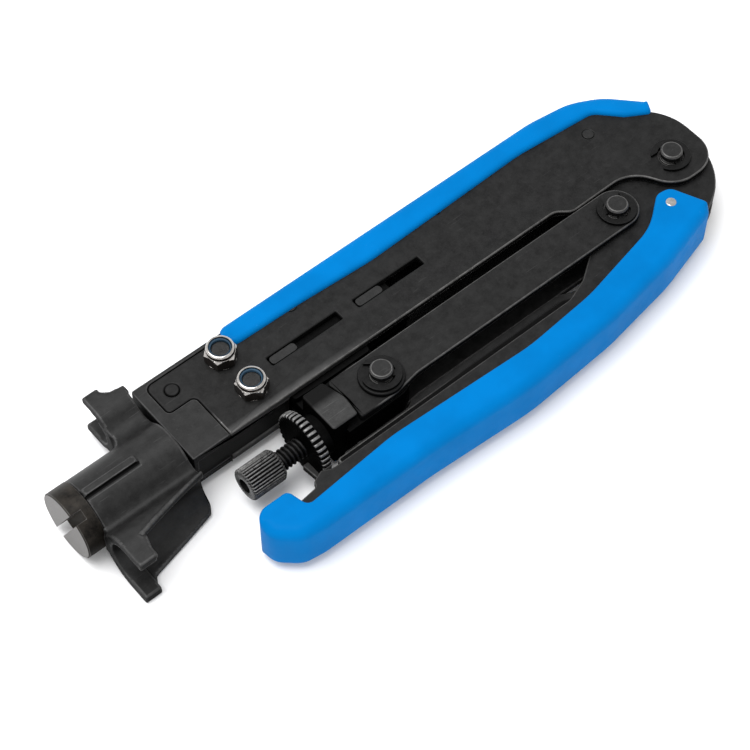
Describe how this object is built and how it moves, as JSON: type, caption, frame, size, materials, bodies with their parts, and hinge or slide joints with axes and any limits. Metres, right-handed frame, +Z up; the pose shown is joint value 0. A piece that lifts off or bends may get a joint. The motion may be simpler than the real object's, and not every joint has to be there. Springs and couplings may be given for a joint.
{
  "type": "compression crimping tool",
  "caption": "Hand-held compression crimping tool: a lever handle and link push an adjustable plunger toward a swivelling cradle head that holds a coaxial connector.",
  "frame": {"origin": "on the main pivot's axis, in the plane the tool rests on (the foot of the main pivot pin's head)", "axes": "+X toward the pivot end, -X toward the swivel head, +Y toward the fixed grip, +Z up through the plates; the tool lies on its side"},
  "size_m": [0.2053, 0.0708, 0.0209],
  "materials": {
    "black_steel": "satin black oxide",
    "cast_black": "fine cast, black finish",
    "dark_steel": "blackened, worn bright on edges",
    "worn_steel": "worn, turned",
    "nickel_steel": "bright nickel plate",
    "blue_nylon": "moulded nylon",
    "blue_plastic": "smooth moulded"
  },
  "bodies": {
    "frame": {"frame_top_plate": "black_steel", "frame_bottom_plate": "black_steel", "head_block": "cast_black", "frame_spine": "black_steel", "locating_dowel": "black_steel", "spine_rivets": "black_steel", "frame_grip": "blue_plastic", "clamp_bolts": "nickel_steel", "nyloc_nuts": "nickel_steel", "nyloc_rings": "blue_nylon", "main_pivot_pin": "dark_steel", "main_pivot_clip": "dark_steel", "head_screw": "worn_steel"},
    "head": {"swivel_head": "cast_black"},
    "handle": {"handle_top_plate": "black_steel", "handle_bottom_plate": "black_steel", "handle_web": "black_steel", "handle_grip": "blue_plastic", "grip_rivet": "nickel_steel", "handle_rivets": "black_steel"},
    "link": {"link_top": "black_steel", "link_bottom": "black_steel", "link_rear_pin": "dark_steel", "link_rear_clip": "dark_steel", "link_front_pin": "dark_steel", "link_front_clip": "dark_steel"},
    "plunger": {"plunger_body": "cast_black", "slider_top_plate": "black_steel", "slider_bottom_plate": "black_steel", "slider_rivets": "black_steel"},
    "wheel": {"lock_wheel": "dark_steel"},
    "adjuster": {"adjusting_stud": "dark_steel", "plunger_tip": "dark_steel"}
  },
  "joints": [
    {"name": "handle_hinge", "type": "hinge", "parent": "frame", "child": "handle", "pos_m": [0, 0, 0.0096], "axis": [0, 0, 1], "range_deg": [0, 50]},
    {"name": "link_hinge", "type": "hinge", "parent": "handle", "child": "link", "pos_m": [-0.0244, -0.0041, 0.0096], "axis": [0, 0, 1], "range_deg": [-62, 0]},
    {"name": "plunger_slide", "type": "slide", "parent": "frame", "child": "plunger", "axis": [1, 0, 0], "range_m": [0, 0.0136]},
    {"name": "head_swivel", "type": "hinge", "parent": "frame", "child": "head", "pos_m": [-0.175, 0.01415, 0.0096], "axis": [1, 0, 0], "continuous": true},
    {"name": "wheel_spin", "type": "hinge", "parent": "plunger", "child": "wheel", "pos_m": [-0.1335, -0.005, 0.0096], "axis": [1, 0, 0], "continuous": true},
    {"name": "tip_adjust", "type": "slide", "parent": "plunger", "child": "adjuster", "axis": [1, 0, 0], "range_m": [-0.004, 0.004]}
  ],
  "couplings": [
    {"joint": "link_hinge", "follows": "handle_hinge", "ratio": -1.237},
    {"joint": "plunger_slide", "follows": "handle_hinge", "m_per_rad": 0.015421}
  ]
}
